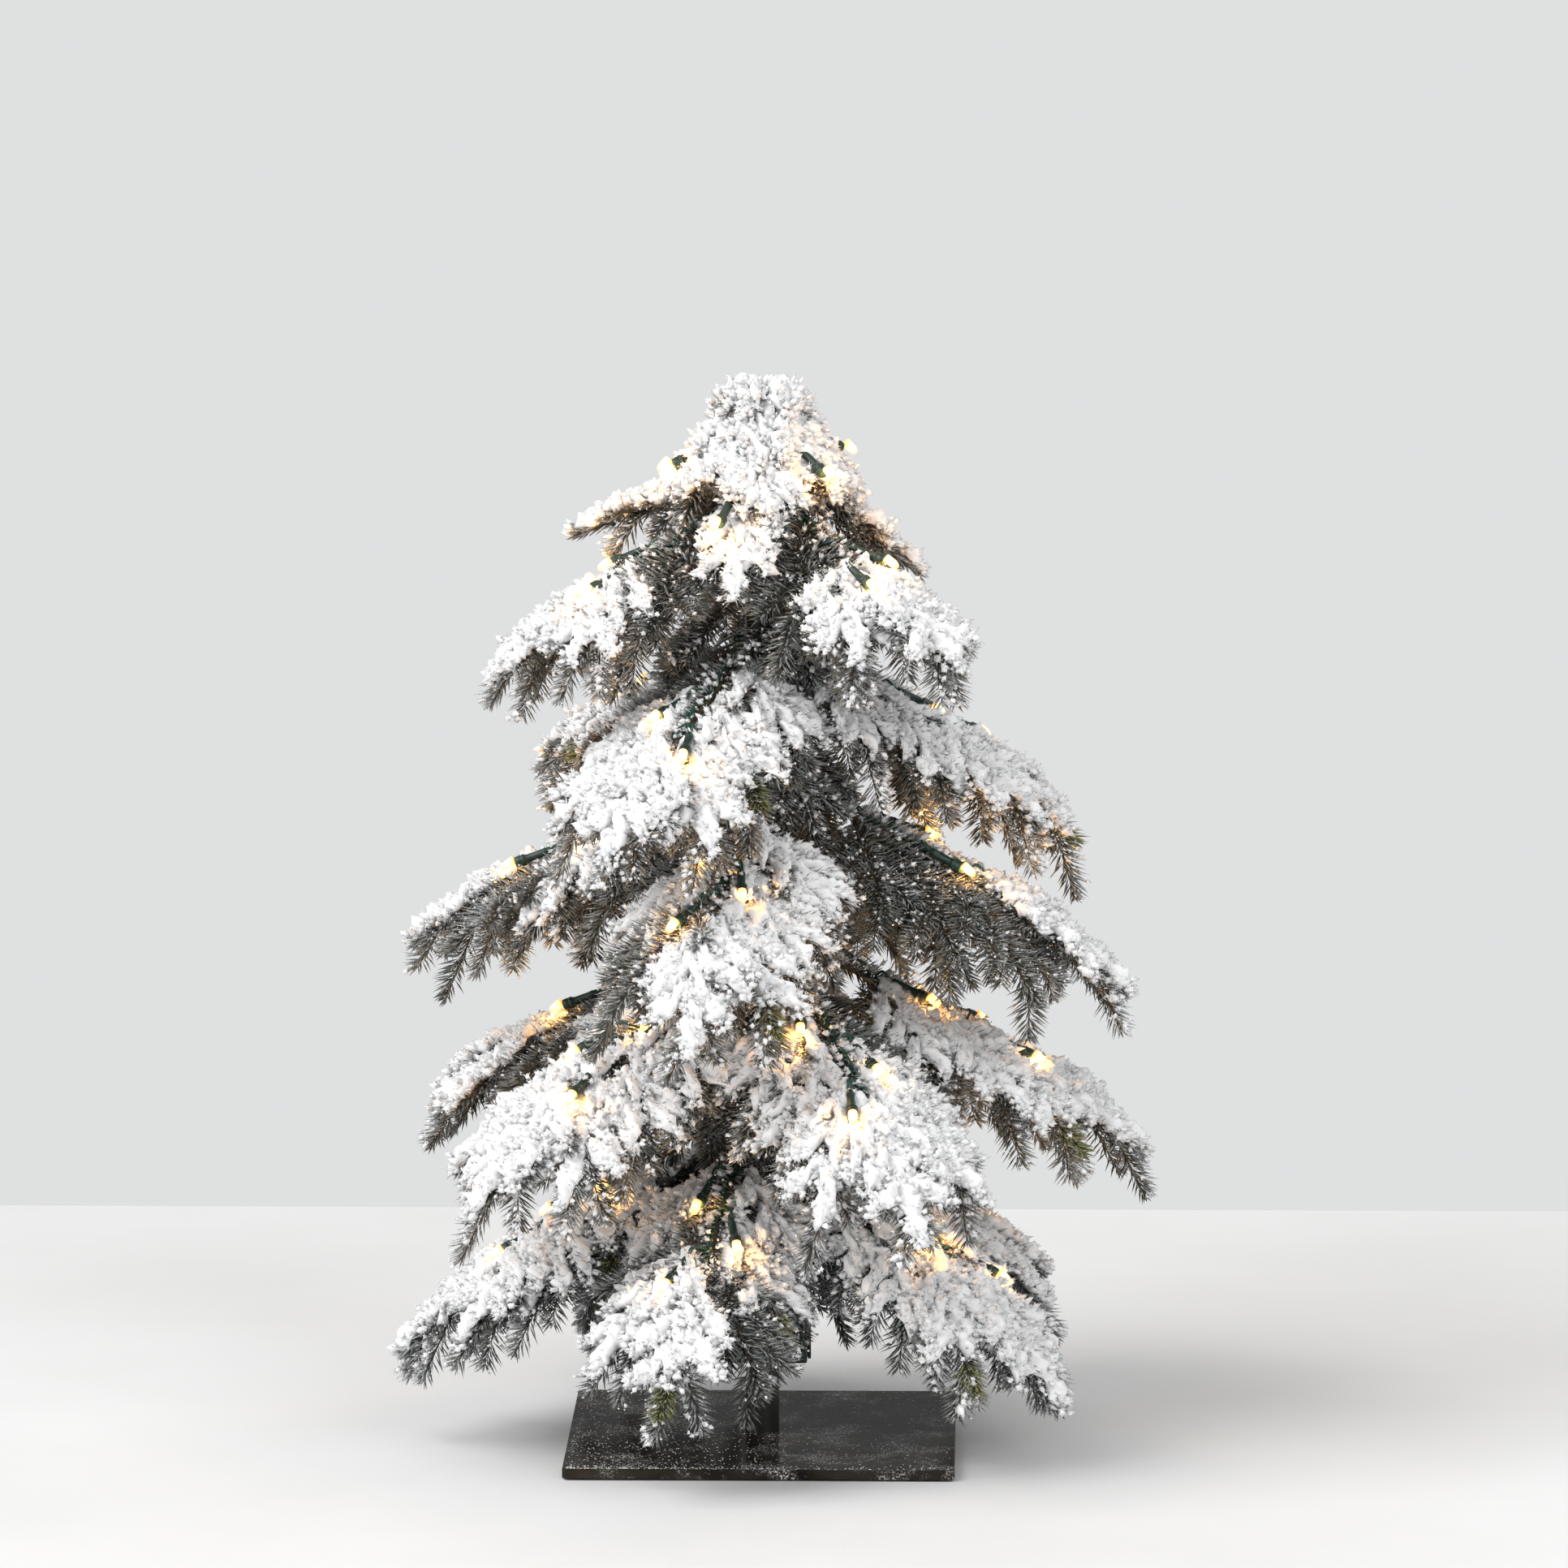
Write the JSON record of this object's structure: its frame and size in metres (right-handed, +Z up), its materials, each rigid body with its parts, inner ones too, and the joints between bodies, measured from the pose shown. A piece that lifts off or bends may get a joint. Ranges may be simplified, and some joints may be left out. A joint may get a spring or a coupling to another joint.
{
  "type": "artificial tabletop tree",
  "caption": "Flocked artificial tabletop tree with a warm light string, wired branches that bend, on a steel pole and a square steel plate, with a battery box.",
  "frame": {"origin": "middle of the base pad's underside, where the tree stands on a table", "axes": "+Z up along the pole, +X to the viewer's right, -Y towards the viewer, so the battery box is behind the pole on +Y"},
  "size_m": [0.4244, 0.4064, 0.612],
  "materials": {
    "flocked_needles": "dark green moulded needles under white flock",
    "flock": "rough white cellulose flock",
    "needles": "dark olive, satin",
    "bare_tips": "yellow-green, satin",
    "twig": "brown-green tape over wire",
    "branch_wire": "steel wire with a dark green coat",
    "binding_tape": "dark green stretched tape",
    "black_steel": "satin black, slightly blotched",
    "zinc_steel": "zinc plated",
    "felt": "black felt",
    "black_plastic": "moulded, fine texture",
    "green_wire": "dark green, glossy",
    "lamp_holder": "dark green, satin",
    "bulb": "clear warm white lens, lit",
    "box_plastic": "dark green moulded plastic",
    "cell_wrap": "plain printed sleeve, grey with a dark band",
    "nickel": "nickel plated spring steel",
    "board": "green laminate",
    "tie_nylon": "black nylon"
  },
  "bodies": {
    "stand": {"base_pad": "felt", "base_plate": "black_steel", "pole_screw": "zinc_steel", "pole_foot_plug": "black_plastic", "trunk_pole": "black_steel", "pole_top_plug": "black_plastic", "branch_wire_legs": "branch_wire", "binding_bands": "binding_tape", "top_tuft": "flocked_needles", "top_tuft_lights": "green_wire", "trunk_filler_sprigs": "flocked_needles", "trunk_light_string": "green_wire", "battery_case": "box_plastic", "battery_cells": "cell_wrap", "battery_contacts": "nickel", "timer_board": "board", "pole_ties": "tie_nylon"},
    "battery_cover": {"battery_cover": "box_plastic"},
    "switch_slider": {"switch_slider": "black_plastic"},
    "branch_1a": {"branch_1a": "flocked_needles", "branch_1a_lights": "green_wire"},
    "branch_1b": {"branch_1b": "flocked_needles", "branch_1b_lights": "green_wire"},
    "branch_1c": {"branch_1c": "flocked_needles", "branch_1c_lights": "green_wire"},
    "branch_2a": {"branch_2a": "flocked_needles", "branch_2a_lights": "green_wire"},
    "branch_2b": {"branch_2b": "flocked_needles", "branch_2b_lights": "green_wire"},
    "branch_2c": {"branch_2c": "flocked_needles", "branch_2c_lights": "green_wire"},
    "branch_3a": {"branch_3a": "flocked_needles", "branch_3a_lights": "green_wire"},
    "branch_3b": {"branch_3b": "flocked_needles", "branch_3b_lights": "green_wire"},
    "branch_3c": {"branch_3c": "flocked_needles", "branch_3c_lights": "green_wire"},
    "branch_3d": {"branch_3d": "flocked_needles", "branch_3d_lights": "green_wire"},
    "branch_4a": {"branch_4a": "flocked_needles", "branch_4a_lights": "green_wire"},
    "branch_4b": {"branch_4b": "flocked_needles", "branch_4b_lights": "green_wire"},
    "branch_4c": {"branch_4c": "flocked_needles", "branch_4c_lights": "green_wire"},
    "branch_4d": {"branch_4d": "flocked_needles", "branch_4d_lights": "green_wire"},
    "branch_4e": {"branch_4e": "flocked_needles", "branch_4e_lights": "green_wire"},
    "branch_5a": {"branch_5a": "flocked_needles", "branch_5a_lights": "green_wire"},
    "branch_5b": {"branch_5b": "flocked_needles", "branch_5b_lights": "green_wire"},
    "branch_5c": {"branch_5c": "flocked_needles", "branch_5c_lights": "green_wire"},
    "branch_5d": {"branch_5d": "flocked_needles", "branch_5d_lights": "green_wire"},
    "branch_5e": {"branch_5e": "flocked_needles", "branch_5e_lights": "green_wire"}
  },
  "joints": [
    {"name": "cover_slide", "type": "slide", "parent": "stand", "child": "battery_cover", "axis": [0, 0, -1], "range_m": [0, 0.028]},
    {"name": "switch_slide", "type": "slide", "parent": "stand", "child": "switch_slider", "axis": [-1, 0, 0], "range_m": [0, 0.006]},
    {"name": "bend_1a", "type": "hinge", "parent": "stand", "child": "branch_1a", "pos_m": [0.00243, 0.01185, 0.526], "axis": [0.9796, -0.2011, 0], "range_deg": [-14, 12]},
    {"name": "bend_1b", "type": "hinge", "parent": "stand", "child": "branch_1b", "pos_m": [-0.01139, -0.00408, 0.526], "axis": [-0.3373, 0.9414, 0], "range_deg": [-14, 12]},
    {"name": "bend_1c", "type": "hinge", "parent": "stand", "child": "branch_1c", "pos_m": [0.00857, -0.00855, 0.526], "axis": [-0.7062, -0.708, 0], "range_deg": [-14, 12]},
    {"name": "bend_2a", "type": "hinge", "parent": "stand", "child": "branch_2a", "pos_m": [0.01199, 0.0016, 0.452], "axis": [0.1323, -0.9912, 0], "range_deg": [-8, 18]},
    {"name": "bend_2b", "type": "hinge", "parent": "stand", "child": "branch_2b", "pos_m": [-0.00678, 0.01002, 0.452], "axis": [0.8282, 0.5605, 0], "range_deg": [-8, 18]},
    {"name": "bend_2c", "type": "hinge", "parent": "stand", "child": "branch_2c", "pos_m": [-0.00535, -0.01085, 0.452], "axis": [-0.8968, 0.4424, 0], "range_deg": [-8, 18]},
    {"name": "bend_3a", "type": "hinge", "parent": "stand", "child": "branch_3a", "pos_m": [0.00215, 0.01191, 0.374], "axis": [0.9841, -0.1776, 0], "range_deg": [-9, 9]},
    {"name": "bend_3b", "type": "hinge", "parent": "stand", "child": "branch_3b", "pos_m": [-0.01164, 0.0033, 0.374], "axis": [0.2727, 0.9621, 0], "range_deg": [-9, 9]},
    {"name": "bend_3c", "type": "hinge", "parent": "stand", "child": "branch_3c", "pos_m": [-0.00243, -0.01185, 0.374], "axis": [-0.9796, 0.2011, 0], "range_deg": [-9, 9]},
    {"name": "bend_3d", "type": "hinge", "parent": "stand", "child": "branch_3d", "pos_m": [0.01183, -0.00256, 0.374], "axis": [-0.2119, -0.9773, 0], "range_deg": [-9, 9]},
    {"name": "bend_4a", "type": "hinge", "parent": "stand", "child": "branch_4a", "pos_m": [0.01209, 0.00052, 0.284], "axis": [0.0432, -0.9991, 0], "range_deg": [-10, 15]},
    {"name": "bend_4b", "type": "hinge", "parent": "stand", "child": "branch_4b", "pos_m": [0.00211, 0.01192, 0.284], "axis": [0.9847, -0.1744, 0], "range_deg": [-10, 15]},
    {"name": "bend_4c", "type": "hinge", "parent": "stand", "child": "branch_4c", "pos_m": [-0.01017, 0.00656, 0.284], "axis": [0.5423, 0.8402, 0], "range_deg": [-10, 15]},
    {"name": "bend_4d", "type": "hinge", "parent": "stand", "child": "branch_4d", "pos_m": [-0.00917, -0.0079, 0.284], "axis": [-0.6528, 0.7575, 0], "range_deg": [-10, 15]},
    {"name": "bend_4e", "type": "hinge", "parent": "stand", "child": "branch_4e", "pos_m": [0.00515, -0.01095, 0.284], "axis": [-0.9048, -0.4258, 0], "range_deg": [-10, 15]},
    {"name": "bend_5a", "type": "hinge", "parent": "stand", "child": "branch_5a", "pos_m": [0.00954, 0.00745, 0.184], "axis": [0.6157, -0.788, 0], "range_deg": [-7, 14]},
    {"name": "bend_5b", "type": "hinge", "parent": "stand", "child": "branch_5b", "pos_m": [-0.00516, 0.01095, 0.184], "axis": [0.9047, 0.4261, 0], "range_deg": [-7, 14]},
    {"name": "bend_5c", "type": "hinge", "parent": "stand", "child": "branch_5c", "pos_m": [-0.01206, -0.001, 0.184], "axis": [-0.0823, 0.9966, 0], "range_deg": [-7, 14]},
    {"name": "bend_5d", "type": "hinge", "parent": "stand", "child": "branch_5d", "pos_m": [-0.00309, -0.0117, 0.184], "axis": [-0.9668, 0.2557, 0], "range_deg": [-7, 14]},
    {"name": "bend_5e", "type": "hinge", "parent": "stand", "child": "branch_5e", "pos_m": [0.01068, -0.00569, 0.184], "axis": [-0.4702, -0.8825, 0], "range_deg": [-7, 14]}
  ]
}
